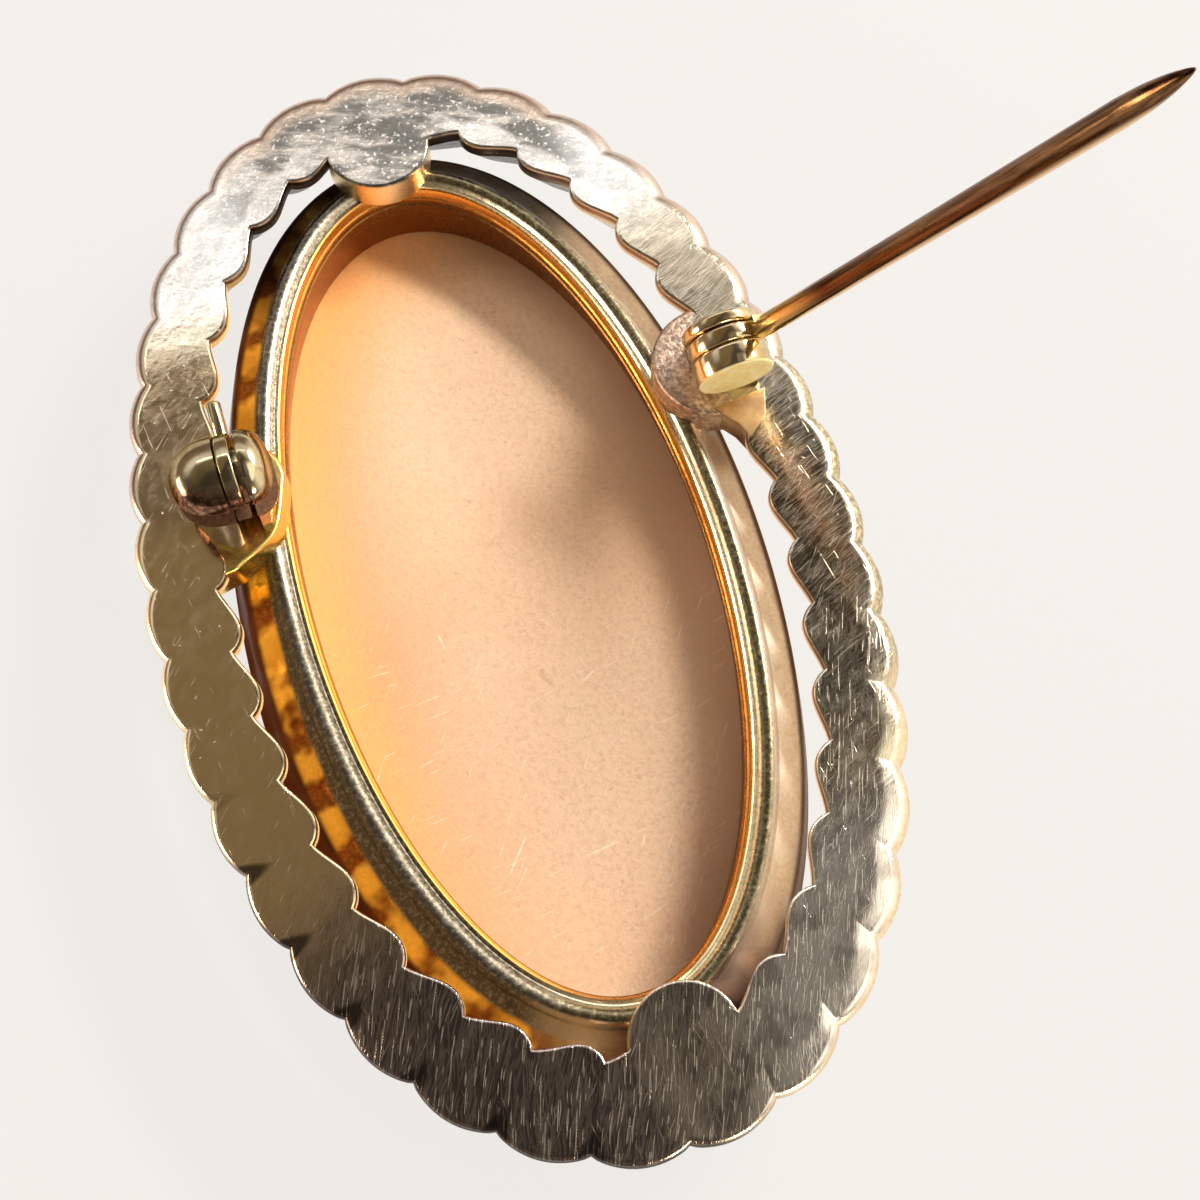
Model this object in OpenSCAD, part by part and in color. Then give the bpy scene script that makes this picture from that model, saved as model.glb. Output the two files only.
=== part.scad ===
/* [Border] */
// Length of the border between opposite grooves
border_l = 48.7; // [48:0.1:49]
// Width of the border between opposite grooves
border_w = 28.8; // [28.4:0.2:29.6]
// Width of the flat back of the border, groove to groove
band_w = 2.7; // [2.6:0.05:2.9]
// Width of the flat back at the two ends of the oval
band_end_w = 3.3; // [3.1:0.05:3.5]
// Thickness of the border from its flat back to its fluted front
border_t = 3.2; // [2.8:0.1:3.4]
// Number of fluted lobes round the border
lobes = 37; // [33:1:41]
// How far a lobe stands out beyond its grooves on the outside
lobe_out = 0.42; // [0.2:0.02:0.5]
// How far a lobe swells inwards beyond its grooves on the inside
lobe_in = 0.56; // [0.3:0.02:0.6]

/* [Setting] */
// Length of the opening in the back of the bezel
lip_l = 37.3; // [37:0.1:37.5]
// Width of the opening in the back of the bezel
lip_w = 17.04; // [16.8:0.02:17.2]
// Radius of the hollow trough along the back of the shell
trough_r = 19; // [18:0.5:24]
// Thickness of the shell along its long axis
shell_t = 1.85; // [1.6:0.05:2]

/* [Pin] */
// Diameter of the pin wire
wire_d = 0.92; // [0.8:0.02:1]
// Length of the pin from the hinge axis to its point
pin_l = 23.2; // [21.5:0.1:23.6]
// Angle that the pin is opened to, from lying closed
pin_open = 112; // [20:1:120]

/* [Hinge and catch] */
// Diameter of the hinge barrel
barrel_d = 3.3; // [3:0.1:3.4]
// Diameter of the rivet through the hinge
rivet_d = 0.8; // [0.6:0.05:0.9]
// Diameter of the two halves of the ball catch
ball_d = 3.6; // [3.4:0.05:3.7]
// Running clearance between moving pieces, on each side
play = 0.05; // [0.04:0.01:0.06]

/* [Hidden] */

gold = "#c9a24e";
pin_gold = "#8a4f28";
shell_tan = "#d9a679";

// Height of the flat back above the floor, with the shell's front table resting on it
back_z = 6.4;

// The lobes are wider at the two ends of the oval than along its sides. A lobe's place in the
// count is t = a + stretch * sin(2 * a) + drift * cos(a), where a is the angle round the oval.
pitch = 360 / lobes;
first_groove = 84.3;
stretch_out = 9.7;
stretch_in = 7.7;
drift = 1.2;
slant = 2;
steps = 7;

function angle_at(t, stretch, a, n = 12) =
    n == 0 ? a : angle_at(t, stretch, t - stretch * sin(2 * a) - drift * cos(a), n - 1);
fullness = 0.008;
function oval(l, w, a) = [w / 2 * cos(a), l / 2 * sin(a)];
function full_oval(l, w, a) = (1 - fullness * cos(4 * a)) * oval(l, w, a);
function oval_out(l, w, a) =
    let (n = [cos(a) / w, sin(a) / l])
    n / norm(n);
function grown(l, w, a, e) = oval(l, w, a) + e * oval_out(l, w, a);

// A lobe's height at part f of its pitch: peak moves the crest along the lobe.
function swell(f, peak) = pow(max(0, sin(180 * pow(f, peak))), 0.75);

// The back edge is filed flat. Its outer shoulder is rounder at the top right than at the bottom left.
function shoulder(a) = 0.62 + 0.33 * cos(a - 60);

// Section of the border, as [part of the width from inside to outside, height from the flat back]
function border_section(s, w, front) = [
    [0.02, 0],
    [1 - s / w, 0],
    [1 - 0.5 * s / w, -0.12 * s],
    [1 - 0.14 * s / w, -0.45 * s],
    [1, -s],
    [0.985, -1.8],
    [0.92, -0.76 * front],
    [0.78, -0.92 * front],
    [0.58, -front],
    [0.38, -0.87 * front],
    [0.2, -0.56 * front],
    [0, -0.6],
    [0, -0.08]
];

function border_ring(i) =
    let (t = first_groove + i * pitch / steps)
    let (f = (i % steps) / steps)
    let (a = angle_at(t, stretch_out, t))
    let (b = angle_at(t + slant, stretch_in, t))
    let (il = border_l - 2 * band_end_w)
    let (iw = border_w - 2 * band_w)
    let (outer = full_oval(border_l, border_w, a) + lobe_out * swell(f, 1) * oval_out(border_l, border_w, a))
    let (inner = full_oval(il, iw, b) - lobe_in * swell(f, 1.6) * oval_out(il, iw, b))
    let (front = border_t * (0.88 + 0.12 * swell(f, 1)))
    [for (p = border_section(shoulder(a), norm(outer - inner), front))
        let (q = inner + p[0] * (outer - inner))
        [q[0], q[1], p[1]]];

// Joins closed rings of points into one closed ring-shaped solid
module ring_loft(rings) {
    n = len(rings);
    m = len(rings[0]);
    polyhedron(
        points = [for (r = rings) for (p = r) p],
        faces = [for (i = [0:n - 1]) for (j = [0:m - 1])
            let (a = i * m + j)
            let (b = i * m + (j + 1) % m)
            let (c = ((i + 1) % n) * m + (j + 1) % m)
            let (d = ((i + 1) % n) * m + j)
            for (t = [[a, c, b], [a, d, c]]) t],
        convexity = 10
    );
}

// Joins rings into a closed solid between two middle points
module capped_loft(rings, first, last) {
    n = len(rings);
    m = len(rings[0]);
    polyhedron(
        points = concat([for (r = rings) for (p = r) p], [first, last]),
        faces = concat(
            [for (j = [0:m - 1]) [n * m, (j + 1) % m, j]],
            [for (i = [0:n - 2]) for (j = [0:m - 1])
                let (a = i * m + j)
                let (b = i * m + (j + 1) % m)
                for (t = [[a, b, b + m], [a, b + m, a + m]]) t],
            [for (j = [0:m - 1]) [n * m + 1, (n - 1) * m + j, (n - 1) * m + (j + 1) % m]]
        ),
        convexity = 10
    );
}

// An outline at a height
function raised(outline, z) = [for (p = outline) [p[0], p[1], z]];

module border() {
    ring_loft([for (i = [0:lobes * steps - 1]) border_ring(i)]);
}

// Height of the shell's hollow back at x, from the flat back
function trough(x) = shell_t - back_z + trough_r - sqrt(pow(trough_r, 2) - x * x);

// A step under the collar reaches out to the border at the bottom left, and vanishes elsewhere
function step_out(a) = 1.3 * pow((1 + cos(a - 235)) / 2, 3);

// Section of the bezel, as [distance outside the lip, height from the flat back]
seat_e = 1;
step_rows = [10, 11];
rim_e = 0.72;
bezel_section = [
    [0, -1.5],
    [0.12, -1.36],
    [0.3, -1.42],
    [0.5, -1.2],
    [0.8, -1.14],
    [1.05, -1.3],
    [1.15, -1.5],
    [2.2, -1.95],
    [2.3, -2.1],
    [2.3, -2.75],
    [2.3, -2.85],
    [2.22, -3.3],
    [1.75, -5.5],
    [1.3, -5.76],
    [rim_e, -5.72],
    [rim_e, -5.5],
    [seat_e, -5.4]
];
ledge_e = -0.12;
ledge_z = -2.3;
bezel_steps = 72;

function bezel_ring(i) =
    let (a = i * 360 / bezel_steps)
    let (seat = grown(lip_l, lip_w, a, seat_e))
    let (ledge = grown(lip_l, lip_w, a, ledge_e))
    concat(
        [for (k = [0:len(bezel_section) - 1])
            let (p = bezel_section[k])
            let (extra = k >= step_rows[0] && k <= step_rows[1] ? step_out(a) : 0)
            let (q = grown(lip_l, lip_w, a, p[0] + extra))
            [q[0], q[1], p[1]]],
        [[seat[0], seat[1], trough(seat[0]) + play],
         [ledge[0], ledge[1], trough(ledge[0]) + play],
         [ledge[0], ledge[1], ledge_z],
         [oval(lip_l, lip_w, a)[0], oval(lip_l, lip_w, a)[1], ledge_z]]
    );

module bezel() {
    ring_loft([for (i = [0:bezel_steps - 1]) bezel_ring(i)]);
}

// Two tongues of the border reach over the ends of the bezel
top_lug_at = [0, 20.4];
top_lug_r = 2.35;
low_lug_at = [0.75, -20.75];
low_lug_r = 2.15;
lug_z = -1.35;
lug_top = -0.03;

module lug(at, r) {
    translate([at[0], at[1], lug_z])
        cylinder(r = r, h = lug_top - lug_z, $fn = 64);
}

// Hinge: its axis leans a little, and the pin leaves it square to the axis but for a small skew
hinge_at = [11.15, 4.87, 1.79];
hinge_lean = 8.7;
pin_skew = -8;
disc_at = [10.95, 5.35];
disc_r = 2.63;
disc_z = -1.6;
disc_top = -0.05;
gap_w = 0.83;
top_knuckle = 0.55;
low_knuckle = 1.05;

// Solder under the two fixed knuckles joins them to the disc
saddle_w = 2.5;
saddle_z = -2.2;
saddle_h = 1.5;
saddle_in = 0.1;

// The rivet stops short of the barrel's lower end, and the hole is a little wider than the rivet
end_wall = 0.3;
rivet_fit = 0.01;

// Places its children in the hinge's own frame: Y along its axis, X away from the catch
module in_hinge() {
    translate(hinge_at)
        rotate([hinge_lean, 0, 0])
            children();
}

// A round bar along Y from y0 to y1
module bar_y(y0, y1, r) {
    translate([0, y1, 0])
        rotate([90, 0, 0])
            cylinder(r = r, h = y1 - y0, $fn = 64);
}

barrel_top = gap_w / 2 + top_knuckle;
barrel_low = -gap_w / 2 - low_knuckle;

module saddle(y0, y1) {
    translate([-saddle_w / 2, y0, saddle_z])
        cube([saddle_w, y1 - y0, saddle_h]);
}

module knuckles() {
    difference() {
        union() {
            bar_y(gap_w / 2, barrel_top, barrel_d / 2);
            bar_y(barrel_low, -gap_w / 2, barrel_d / 2);
            saddle(gap_w / 2, barrel_top);
            saddle(barrel_low + saddle_in, -gap_w / 2);
        }
        bar_y(barrel_low + end_wall, barrel_top + 1, rivet_d / 2 + rivet_fit);
    }
}

// Solder that joins the disc to the border
fillet = [[10.2, 3.1], [12.6, 3.4], [12.2, 2.2], [11.25, 1.35], [10.95, 2.1]];
fillet_z = -1.3;
fillet_top = 0.03;

module hinge_block() {
    translate([disc_at[0], disc_at[1], disc_z])
        cylinder(r = disc_r, h = disc_top - disc_z, $fn = 64);
    translate([0, 0, fillet_z])
        linear_extrude(fillet_top - fillet_z)
            polygon(fillet);
    in_hinge() knuckles();
}

// Ball catch: two domes on a foot, a mouth for the pin on the lower side, a slot for the ring
ball_at = [-10, 5, 1.95];
slot_x0 = -0.02;
slot_x1 = 0.84;
core_r = 1.12;
mouth_h = wire_d + 0.2;
plate_top = -0.05;
plate = [[-12.4, 2.3], [-10.94, 1.95], [-10.21, 2.25], [-9.51, 2.6], [-8.82, 3.08], [-8.4, 3.8], [-8, 5.02],
    [-7.83, 5.71], [-8, 6.54], [-8.6, 7.2], [-9.6, 7.5], [-10.6, 7.6], [-12.4, 7.8]];

// The foot's heights at its bottom, its low point and its top, and its outlines low down and at the top
foot_z = [-2.3, -1.6, -0.6];
foot_low = [[1.5, 1], [-1.75, 1], [-1.75, -0.6], [-1.21, -1.71], [-0.42, -2.3],
    [-0.15, -2.25], [0.2, -1.95], [1.2, -1.5], [1.5, -0.6]];
foot_high = [[1.4, 1], [-1.45, 1], [-1.45, -0.6], [-1, -1.2], [-0.4, -1.45],
    [0, -1.5], [0.4, -1.45], [1, -1.15], [1.4, -0.6]];

module in_ball() {
    translate(ball_at)
        children();
}

// A disc across X from x0 to x1
module disc_x(x0, x1, r) {
    translate([x0, 0, 0])
        rotate([0, 90, 0])
            cylinder(r = r, h = x1 - x0, $fn = 64);
}

// Half profile of the ball, as [part of the ball's radius, place along X], with the ring's slot
ball_profile = [
    [0, -2.1],
    [0.26, -2.07],
    [0.53, -1.92],
    [0.75, -1.62],
    [0.9, -1.2],
    [0.98, -0.65],
    [1, slot_x0],
    [2 * core_r / ball_d, slot_x0],
    [2 * core_r / ball_d, slot_x1],
    [0.96, slot_x1],
    [0.93, 1.08],
    [0.81, 1.46],
    [0.6, 1.77],
    [0.33, 1.92],
    [0, 1.96]
];

module ball() {
    rotate([0, 90, 0])
        rotate_extrude($fn = 64)
            polygon([for (p = ball_profile) [p[0] * ball_d / 2, p[1]]]);
}

module catch_foot() {
    difference() {
        capped_loft([raised(foot_high, foot_z[2]), raised(foot_low, foot_z[1]), raised(foot_low, foot_z[0])],
            [0, 0, foot_z[2]], [0, 0, foot_z[0]]);
        translate([slot_x0, -ball_d, -ball_d])
            cube([slot_x1 - slot_x0, 2 * ball_d, 2 * ball_d]);
    }
}

// The mouth runs along X from the lower side of the ball to its middle
module mouth(x0, x1) {
    translate([x0, -ball_d, -mouth_h / 2])
        cube([x1 - x0, ball_d + mouth_h / 2, mouth_h]);
}

module catch_block() {
    translate([0, 0, disc_z])
        linear_extrude(plate_top - disc_z)
            polygon(plate);
    in_ball()
        union() {
            difference() {
                ball();
                mouth(-ball_d, ball_d);
            }
            catch_foot();
        }
}

module rope_frame() {
    color(gold)
        translate([0, 0, back_z]) {
            border();
            bezel();
            lug(top_lug_at, top_lug_r);
            lug(low_lug_at, low_lug_r);
            hinge_block();
            catch_block();
        }
}

// Shell: a flat front table with a bevel, a straight edge and a hollow back
shell_e = seat_e - 0.08;
table_e = -0.9;
front_e = rim_e - 0.1;
girdle_z = -5.3;
step_z = -5.36;
edge_z = -5.95;
shell_rings = [0.3, 0.55, 0.75, 0.9, 1];
shell_steps = 72;

function shell_ring(part) = [for (i = [0:shell_steps - 1])
    let (q = part * grown(lip_l, lip_w, i * 360 / shell_steps, shell_e))
    [q[0], q[1], trough(q[0])]];
function flat_ring(e, z) = [for (i = [0:shell_steps - 1])
    let (q = grown(lip_l, lip_w, i * 360 / shell_steps, e))
    [q[0], q[1], z]];

module shell_plaque() {
    color(shell_tan)
        translate([0, 0, back_z])
            capped_loft(
                concat([for (s = shell_rings) shell_ring(s)],
                    [flat_ring(shell_e, girdle_z), flat_ring(front_e, step_z),
                     flat_ring(front_e, edge_z), flat_ring(table_e, -back_z)]),
                [0, 0, trough(0)],
                [0, 0, -back_z]
            );
}

module hinge_rivet() {
    color(gold)
        translate([0, 0, back_z])
            in_hinge()
                bar_y(barrel_low + end_wall + 0.02, barrel_top - 0.02, rivet_d / 2);
}

// The pin: a flat knuckle in the hinge's gap, a neck, a round wire and a bullet point.
// The wire leaves the knuckle at one side of the axis.
knuckle_w = gap_w - 2 * play;
neck_w = knuckle_w - 0.04;
neck_h = wire_d - 0.04;
neck_from = 0.25;
wire_side = 0.69;
wire_drop = -0.135;
wire_from = barrel_d / 2 + 0.1;
point_l = 2.6;
wire_l = pin_l - point_l - wire_from;

module point_profile() {
    polygon([
        [0, 0],
        [wire_d / 2, 0],
        [0.44 * wire_d, 0.36 * point_l],
        [0.31 * wire_d, 0.68 * point_l],
        [0.16 * wire_d, 0.9 * point_l],
        [0.05 * wire_d, point_l],
        [0, point_l]
    ]);
}

module pin_stem() {
    color(pin_gold)
        translate([0, 0, back_z])
            in_hinge()
                rotate([0, pin_open, 0])
                    difference() {
                        union() {
                            bar_y(-knuckle_w / 2, knuckle_w / 2, barrel_d / 2 - play);
                            translate([-wire_from - neck_from, -neck_w / 2, wire_side - neck_h / 2])
                                cube([wire_from, neck_w, neck_h]);
                            translate([-wire_from, wire_drop, wire_side])
                                rotate([0, -90, -pin_skew]) {
                                    cylinder(r = wire_d / 2, h = wire_l, $fn = 48);
                                    translate([0, 0, wire_l])
                                        rotate_extrude($fn = 48)
                                            point_profile();
                                }
                        }
                        bar_y(-gap_w, gap_w, rivet_d / 2 + play);
                    }
}

// The catch's ring: a split ring in the ball's slot with a lever. It lies against the slot's left side.
ring_w = 0.6;
ring_r = 1.75;
lever_r = 0.29;
lever_from = 1.5;
lever_l = 3.25;
lever_tilt = 8;

module catch_ring() {
    color(gold)
        translate([0, 0, back_z])
            in_ball() {
                difference() {
                    disc_x(slot_x0 + play, slot_x0 + play + ring_w, ring_r);
                    disc_x(slot_x0 - 1, slot_x1 + 1, core_r + play);
                    mouth(slot_x0 - 1, slot_x1 + 1);
                }
                translate([slot_x0 + play + ring_w / 2, 0, 0])
                    rotate([lever_tilt, 0, 0])
                        bar_y(lever_from, lever_l, lever_r);
            }
}

rope_frame();
shell_plaque();
hinge_rivet();
pin_stem();
catch_ring();
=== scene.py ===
import math
from types import SimpleNamespace

import bmesh
import bpy
from mathutils import Matrix, Vector


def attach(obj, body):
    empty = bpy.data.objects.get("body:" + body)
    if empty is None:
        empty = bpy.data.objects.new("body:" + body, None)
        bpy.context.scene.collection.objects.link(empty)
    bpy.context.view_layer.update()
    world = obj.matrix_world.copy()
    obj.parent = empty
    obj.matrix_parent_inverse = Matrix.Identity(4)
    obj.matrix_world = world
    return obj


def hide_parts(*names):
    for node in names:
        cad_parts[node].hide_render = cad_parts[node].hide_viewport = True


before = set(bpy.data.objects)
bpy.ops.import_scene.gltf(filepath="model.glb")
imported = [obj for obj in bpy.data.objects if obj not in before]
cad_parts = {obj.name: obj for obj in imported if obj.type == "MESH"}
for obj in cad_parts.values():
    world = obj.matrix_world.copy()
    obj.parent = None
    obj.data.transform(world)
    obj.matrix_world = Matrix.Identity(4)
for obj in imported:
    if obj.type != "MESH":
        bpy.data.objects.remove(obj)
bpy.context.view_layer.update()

MM = 0.001
BACK_Z = 6.4  # height of the flat back above the floor, in mm
BALL_AT = (-10, 5, BACK_Z + 1.95)
PLAY = 0.05  # clearance round what turns or is let in
SUPPORT = 0.03  # width of a narrow face that keeps a rounded edge's shading off the flat beside it
ROUND = (0, 30, 60, 90)  # steps of a rounded edge, in degrees

# The body, the material slot and the node of each sub-part that pieces replace
FRAME = ("mount", "frame_gold", "rope_frame")
PLAQUE = ("mount", "shell", "shell_plaque")
STEM = ("pin", "pin_gold", "pin_stem")
RING = ("ring", "ring_gold", "catch_ring")

# Forms, all in millimetres


def cosd(a):
    return math.cos(math.radians(a))


def sind(a):
    return math.sin(math.radians(a))


def smooth(lo, hi, x):
    t = min(1.0, max(0.0, (x - lo) / (hi - lo)))
    return t * t * (3 - 2 * t)


def make(name, points, faces, subpart, material, lay=None, matrix=None, sharp=40):
    """A piece from points in mm, in place of a sub-part's solid.

    lay holds a local place for each point, which the materials read. Without it, the points themselves do.
    """
    body, slot, node = subpart
    placed = [Vector(p) for p in points]
    if matrix is not None:
        placed = [matrix @ p for p in placed]
    mesh = bpy.data.meshes.new(name)
    mesh.from_pydata([p * MM for p in placed], [], faces)
    mesh.update()
    field = mesh.attributes.new("lay", "FLOAT_VECTOR", "POINT")
    field.data.foreach_set("vector", [c for p in lay or points for c in p])
    mesh.polygons.foreach_set("use_smooth", [True] * len(mesh.polygons))
    mesh.set_sharp_from_angle(angle=math.radians(sharp))
    obj = bpy.data.objects.new(name, mesh)
    bpy.context.scene.collection.objects.link(obj)
    obj.data.materials.append(material)
    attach(obj, body)
    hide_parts(node)
    return obj


def quads(rows, n, closed=False):
    """Faces between rows of n points each, and from the last row to the first where closed."""
    faces = []
    for r in range(rows if closed else rows - 1):
        s = (r + 1) % rows
        for i in range(n):
            k = (i + 1) % n
            faces.append((r * n + i, r * n + k, s * n + k, s * n + i))
    return faces


def capped(rows, n):
    """Faces of a solid through rising rows of n points each, counterclockwise."""
    return quads(rows, n) + [tuple(range(n - 1, -1, -1)), tuple(range((rows - 1) * n, rows * n))]


def curve_through(points, parts, closed=False):
    """A smooth line through points, with parts steps between each two of them."""
    out = []
    n = len(points)
    for i in range(n if closed else n - 1):
        if closed:
            a, b, c, d = (points[(i + k) % n] for k in (-1, 0, 1, 2))
        else:
            a, b, c, d = points[max(i - 1, 0)], points[i], points[i + 1], points[min(i + 2, n - 1)]
        for s in range(parts):
            t = s / parts
            out.append(tuple(
                0.5 * (2 * b[k] + (c[k] - a[k]) * t + (2 * a[k] - 5 * b[k] + 4 * c[k] - d[k]) * t * t
                       + (3 * b[k] - a[k] - 3 * c[k] + d[k]) * t ** 3)
                for k in range(len(b))))
    if not closed:
        out.append(tuple(points[-1]))
    return out


def lathe(profile, turns=96):
    """Points and faces of a profile of (radius, height) turned about Z, closed where a radius is 0."""
    points, faces, rows = [], [], []
    for r, z in profile:
        count = turns if r else 1
        rows.append(range(len(points), len(points) + count))
        points += [(r * cosd(360 * j / turns), r * sind(360 * j / turns), z) for j in range(count)]
    for low, high in zip(rows, rows[1:]):
        for j in range(turns):
            k = (j + 1) % turns
            if len(low) == 1:
                faces.append((low[0], high[k], high[j]))
            elif len(high) == 1:
                faces.append((low[j], low[k], high[0]))
            else:
                faces.append((low[j], low[k], high[k], high[j]))
    return points, faces


def disc_profile(r, z0, z1, edge, flat_r, steps=ROUND):
    """Profile of a disc with a rounded upper edge. flat_r is where its top is split into two faces."""
    rows = [(r - edge * (1 - cosd(a)), z1 - edge + edge * sind(a)) for a in steps]
    return [(0, z0), (r, z0)] + rows + [(flat_r, z1), (0, z1)]


def bar_profile(z0, z1, r, edge, bore=0):
    """Profile of a round bar with rounded edges, or of a tube where it has a bore."""
    rows = [(r - edge * (1 - sind(a)), z0 + edge * (1 - cosd(a))) for a in ROUND]
    rows += [(r - edge * (1 - sind(a)), z1 - edge * (1 - cosd(a))) for a in reversed(ROUND)]
    return [(bore, z0), (r - edge - SUPPORT, z0)] + rows + [(r - edge - SUPPORT, z1), (bore, z1)]


def inset_row(outline, inset, z):
    """The outline, counterclockwise, moved inwards by inset."""
    row = []
    n = len(outline)
    for i in range(n):
        p, a, b = Vector(outline[i]), Vector(outline[i - 1]), Vector(outline[(i + 1) % n])
        u, v = (p - a).normalized(), (b - p).normalized()
        nu, nv = Vector((-u.y, u.x)), Vector((-v.y, v.x))
        q = p + inset * (nu + nv) / max(0.3, 1 + nu.dot(nv))
        row.append((q.x, q.y, z))
    return row


def prism(outline, z0, z1, bevel):
    """A plate of that outline, counterclockwise, with a rounded upper edge."""
    rows = [(0.0, z0)]
    rows += [(bevel * (1 - cosd(a)), z1 - bevel + bevel * sind(a)) for a in ROUND]
    rows.append((bevel + SUPPORT, z1))
    points = [p for inset, z in rows for p in inset_row(outline, inset, z)]
    return points, capped(len(rows), len(outline))


def loft(rows):
    """A solid through outlines, counterclockwise, at rising heights."""
    points = [(x, y, z) for outline, z in rows for x, y in outline]
    return points, capped(len(rows), len(rows[0][0]))


def cutter_box(x0, x1, y0, y1, z0, z1, matrix):
    points = [(x, y, z) for x in (x0, x1) for y in (y0, y1) for z in (z0, z1)]
    faces = [(0, 1, 3, 2), (4, 6, 7, 5), (0, 4, 5, 1), (2, 3, 7, 6), (0, 2, 6, 4), (1, 5, 7, 3)]
    mesh = bpy.data.meshes.new("cutter")
    mesh.from_pydata([(matrix @ Vector(p)) * MM for p in points], [], faces)
    obj = bpy.data.objects.new("cutter", mesh)
    bpy.context.scene.collection.objects.link(obj)
    return obj


def carve(obj, cutter, sliver=0.001, sharp=32):
    """Cuts the cutter out of a piece, for good, and closes slivers that the cut leaves."""
    step = obj.modifiers.new("cut", "BOOLEAN")
    step.operation = "DIFFERENCE"
    step.solver = "EXACT"
    step.object = cutter
    seen = obj.evaluated_get(bpy.context.evaluated_depsgraph_get())
    mesh = bpy.data.meshes.new_from_object(seen)
    work = bmesh.new()
    work.from_mesh(mesh)
    bmesh.ops.dissolve_degenerate(work, dist=sliver * MM, edges=work.edges)
    work.to_mesh(mesh)
    work.free()
    obj.modifiers.clear()
    obj.data = mesh
    bpy.data.objects.remove(cutter)
    mesh.set_sharp_from_angle(angle=math.radians(sharp))


# Nodes


class Graph:
    """Short names for building a tree of nodes. A mask is a value from 0 to 1."""

    def __init__(self, tree):
        self.tree = tree

    def add(self, kind, **props):
        node = self.tree.nodes.new(kind)
        for key, value in props.items():
            setattr(node, key, value)
        return node

    def put(self, socket, value):
        """Links a socket to a node's output, or sets its value. None leaves it as it is."""
        if isinstance(value, bpy.types.NodeSocket):
            self.tree.links.new(value, socket)
        elif value is not None:
            if socket.type == "RGBA" and len(value) == 3:
                value = (*value, 1)
            socket.default_value = value

    def fill(self, node, *values):
        """Puts the values in a node's first inputs."""
        for socket, value in zip(node.inputs, values):
            self.put(socket, value)
        return node

    def math(self, op, a, b=None):
        return self.fill(self.add("ShaderNodeMath", operation=op), a, b).outputs[0]

    def vector(self, op, a, b):
        node = self.fill(self.add("ShaderNodeVectorMath", operation=op), a)
        self.put(node.inputs["Scale" if op == "SCALE" else 1], b)
        return node.outputs["Value" if op == "DOT_PRODUCT" else "Vector"]

    def split(self, v):
        return self.fill(self.add("ShaderNodeSeparateXYZ"), v).outputs

    def turned(self, v, angle, stretch=(1, 1, 1)):
        """v turned about Z by angle, then stretched."""
        turn = self.add("ShaderNodeVectorRotate", rotation_type="Z_AXIS")
        self.put(turn.inputs["Vector"], v)
        self.put(turn.inputs["Angle"], math.radians(angle))
        return self.vector("MULTIPLY", turn.outputs[0], stretch)

    def noise(self, v, scale, detail=2.0, rough=0.5, distort=0.0, output="Fac"):
        node = self.add("ShaderNodeTexNoise")
        values = {"Vector": v, "Scale": scale, "Detail": detail, "Roughness": rough, "Distortion": distort}
        for name, value in values.items():
            self.put(node.inputs[name], value)
        return node.outputs[output]

    def ramp(self, value, lo, hi, out_lo=0.0, out_hi=1.0):
        """Goes smoothly from out_lo where the value is lo to out_hi where it is hi."""
        node = self.add("ShaderNodeMapRange", interpolation_type="SMOOTHSTEP")
        return self.fill(node, value, lo, hi, out_lo, out_hi).outputs[0]

    def mix(self, mask, a, b):
        """a where the mask is 0, and b where it is 1. A mix node has its colours in inputs 6 and 7."""
        node = self.fill(self.add("ShaderNodeMix", data_type="RGBA"), mask)
        self.put(node.inputs[6], a)
        self.put(node.inputs[7], b)
        return node.outputs[2]

    def both(self, *masks):
        """The masks multiplied."""
        product = masks[0]
        for mask in masks[1:]:
            product = self.math("MULTIPLY", product, mask)
        return product

    def most(self, *masks):
        top = masks[0]
        for mask in masks[1:]:
            top = self.math("MAXIMUM", top, mask)
        return top

    def rest(self, mask):
        """1 where the mask is 0, and 0 where it is 1."""
        return self.math("SUBTRACT", 1.0, mask)

    def plus(self, a, b, times):
        """a + times * b."""
        return self.math("ADD", a, self.math("MULTIPLY", b, times))


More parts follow.
